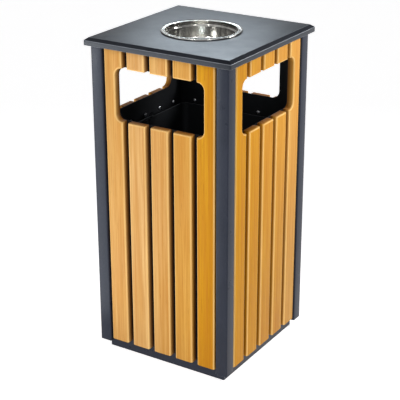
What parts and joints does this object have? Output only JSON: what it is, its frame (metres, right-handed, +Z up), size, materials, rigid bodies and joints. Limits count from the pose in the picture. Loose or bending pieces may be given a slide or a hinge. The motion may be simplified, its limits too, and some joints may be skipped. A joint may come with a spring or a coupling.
{
  "type": "litter bin",
  "caption": "Square outdoor litter bin with timber slats between steel corner posts, a throw-in opening in each side, a hinged lid with a lift-out ashtray, and an inner liner.",
  "frame": {"origin": "centre of the base on the ground", "axes": "+Z up, -Y towards the front, +X to the right"},
  "size_m": [0.4, 0.4, 0.8188],
  "materials": {
    "powder_coat": "satin fine-texture powder coat",
    "lid_coat": "satin fine-texture powder coat",
    "panel_black": "matt powder coat",
    "slat_timber": "oiled, fine straight grain",
    "zinc_screw": "bright zinc plate",
    "rivet_aluminium": "plain",
    "stainless": "bright spun stainless steel",
    "liner_black": "matt black paint"
  },
  "bodies": {
    "base": {"base_tray": "powder_coat", "front_left_post": "powder_coat", "front_right_post": "powder_coat", "rear_right_post": "powder_coat", "rear_left_post": "powder_coat", "front_panel": "panel_black", "right_panel": "panel_black", "rear_panel": "panel_black", "left_panel": "panel_black", "top_frame": "powder_coat", "front_slat_1": "slat_timber", "front_slat_2_upper": "slat_timber", "front_slat_2_lower": "slat_timber", "front_slat_3_upper": "slat_timber", "front_slat_3_lower": "slat_timber", "front_slat_4_upper": "slat_timber", "front_slat_4_lower": "slat_timber", "front_slat_5": "slat_timber", "right_slat_1": "slat_timber", "right_slat_2_upper": "slat_timber", "right_slat_2_lower": "slat_timber", "right_slat_3_upper": "slat_timber", "right_slat_3_lower": "slat_timber", "right_slat_4_upper": "slat_timber", "right_slat_4_lower": "slat_timber", "right_slat_5": "slat_timber", "rear_slat_1": "slat_timber", "rear_slat_2_upper": "slat_timber", "rear_slat_2_lower": "slat_timber", "rear_slat_3_upper": "slat_timber", "rear_slat_3_lower": "slat_timber", "rear_slat_4_upper": "slat_timber", "rear_slat_4_lower": "slat_timber", "rear_slat_5": "slat_timber", "left_slat_1": "slat_timber", "left_slat_2_upper": "slat_timber", "left_slat_2_lower": "slat_timber", "left_slat_3_upper": "slat_timber", "left_slat_3_lower": "slat_timber", "left_slat_4_upper": "slat_timber", "left_slat_4_lower": "slat_timber", "left_slat_5": "slat_timber", "front_slat_screws": "zinc_screw", "right_slat_screws": "zinc_screw", "rear_slat_screws": "zinc_screw", "left_slat_screws": "zinc_screw", "panel_rivets": "rivet_aluminium", "left_hinge_leaf": "powder_coat", "right_hinge_leaf": "powder_coat", "hinge_pins": "zinc_screw", "hinge_screws": "zinc_screw"},
    "lid": {"lid": "lid_coat", "left_lid_leaf": "powder_coat", "right_lid_leaf": "powder_coat"},
    "ashtray": {"ashtray": "stainless"},
    "liner": {"liner": "liner_black", "liner_ears": "liner_black"},
    "handle": {"liner_handle": "liner_black"}
  },
  "joints": [
    {"name": "lid_hinge", "type": "hinge", "parent": "base", "child": "lid", "pos_m": [0, 0.1945, 0.7905], "axis": [-1, 0, 0], "range_deg": [0, 100]},
    {"name": "ashtray_lift", "type": "slide", "parent": "lid", "child": "ashtray", "axis": [0, 0, 1], "range_m": [0, 0.08]},
    {"name": "liner_lift", "type": "slide", "parent": "base", "child": "liner", "axis": [0, 0, 1], "range_m": [0, 0.22]},
    {"name": "handle_swing", "type": "hinge", "parent": "liner", "child": "handle", "pos_m": [0, 0, 0.5766], "axis": [-1, 0, 0], "range_deg": [0, 180]}
  ]
}
